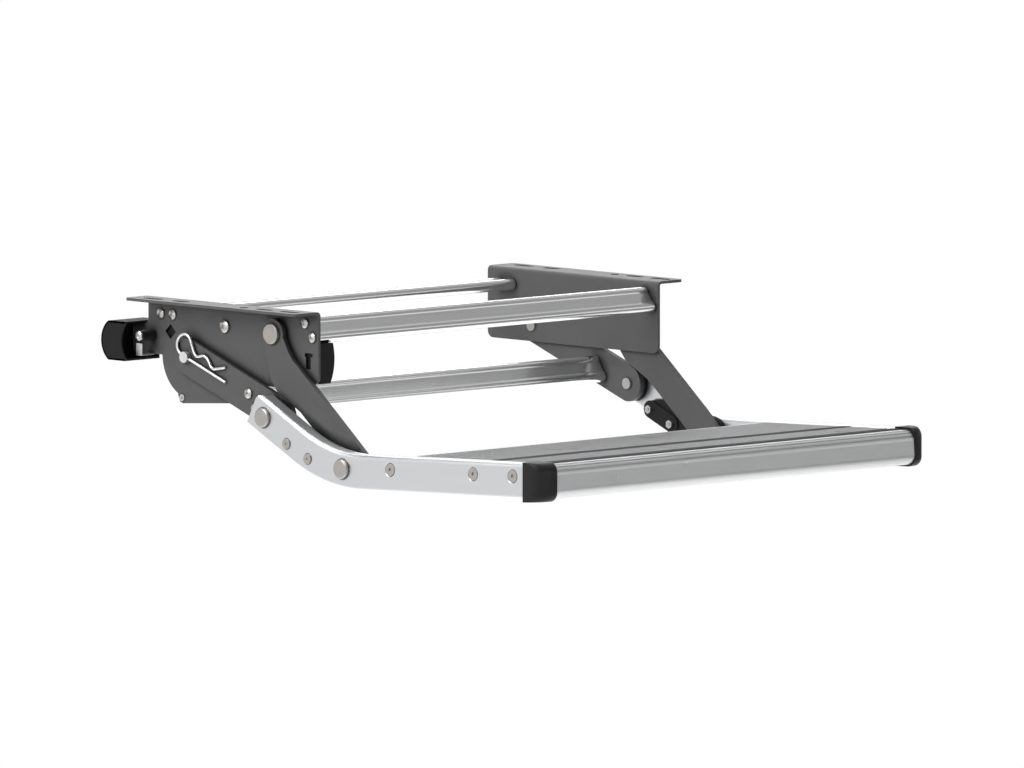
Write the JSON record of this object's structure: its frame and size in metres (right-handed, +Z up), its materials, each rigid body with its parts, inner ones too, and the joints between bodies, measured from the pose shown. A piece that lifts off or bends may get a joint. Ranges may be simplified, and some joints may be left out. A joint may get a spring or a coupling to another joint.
{
  "type": "caravan pull out step",
  "caption": "Caravan entrance step: flanged side plates and tubes carry a folding four-bar linkage with a ribbed aluminium tread on two bent rails.",
  "frame": {"origin": "middle of the four outermost slots of the two mounting flanges, on the flange tops", "axes": "+Z up towards the vehicle floor, -Y towards the front where the tread pulls out, X across the step"},
  "size_m": [0.5784, 0.686, 0.1821],
  "materials": {
    "painted_steel": "satin powder coat",
    "bright_tube": "bright drawn",
    "rail_aluminium": "satin anodised",
    "tread_aluminium": "ribbed and anodised",
    "screw_steel": "zinc plated",
    "rivet_steel": "turned, zinc plated",
    "bright_wire": "bright",
    "black_plastic": "fine moulded grain",
    "cap_plastic": "semi gloss",
    "strip_rubber": "ribbed",
    "motor_metal": "plain",
    "washer_plastic": "plain"
  },
  "bodies": {
    "frame": {"left_side_plate": "painted_steel", "right_side_plate": "painted_steel", "front_tube": "bright_tube", "rear_tube": "bright_tube", "frame_tube_screws": "screw_steel", "drive_housing": "black_plastic", "drive_hood": "black_plastic", "drive_motor": "motor_metal", "hand_drive_shaft": "motor_metal", "housing_screw": "screw_steel", "hood_spacer": "black_plastic", "hood_bolt": "screw_steel", "cable_terminal": "bright_wire", "ear_rivet": "screw_steel", "front_pivot_rivets": "rivet_steel", "rear_pivot_rivet": "rivet_steel", "slide_washers": "washer_plastic"},
    "rear_links": {"left_rear_link": "painted_steel", "right_rear_link": "painted_steel", "lower_tube": "bright_tube", "lower_tube_screws": "screw_steel", "clevis_pin": "bright_wire", "spring_clip": "bright_wire"},
    "front_links": {"left_front_link": "painted_steel", "right_front_link": "painted_steel", "front_link_bushes": "black_plastic"},
    "tread": {"rail_spacers": "black_plastic", "link_rivets": "rivet_steel", "left_rail": "rail_aluminium", "right_rail": "rail_aluminium", "tread_board": "tread_aluminium", "rear_grip_strip": "strip_rubber", "front_grip_strip": "strip_rubber", "left_end_cap": "cap_plastic", "right_end_cap": "cap_plastic", "left_stop_block": "black_plastic", "right_stop_block": "black_plastic", "stop_block_screws": "rivet_steel", "stop_block_nuts": "screw_steel", "rail_screws": "rivet_steel", "tread_rivets": "rivet_steel"}
  },
  "joints": [
    {"name": "fold", "type": "hinge", "parent": "frame", "child": "rear_links", "pos_m": [0, 0.0685, -0.0607], "axis": [1, 0, 0], "range_deg": [0, 136]},
    {"name": "front_link_pivot", "type": "hinge", "parent": "frame", "child": "front_links", "pos_m": [0, -0.0635, -0.0268], "axis": [1, 0, 0], "range_deg": [0, 96]},
    {"name": "tread_pivot", "type": "hinge", "parent": "rear_links", "child": "tread", "pos_m": [0, -0.07547, -0.11396], "axis": [1, 0, 0], "range_deg": [-146, 0]}
  ],
  "couplings": [
    {"joint": "front_link_pivot", "follows": "fold", "ratio": 0.70096},
    {"joint": "tread_pivot", "follows": "fold", "ratio": -1.0706}
  ]
}
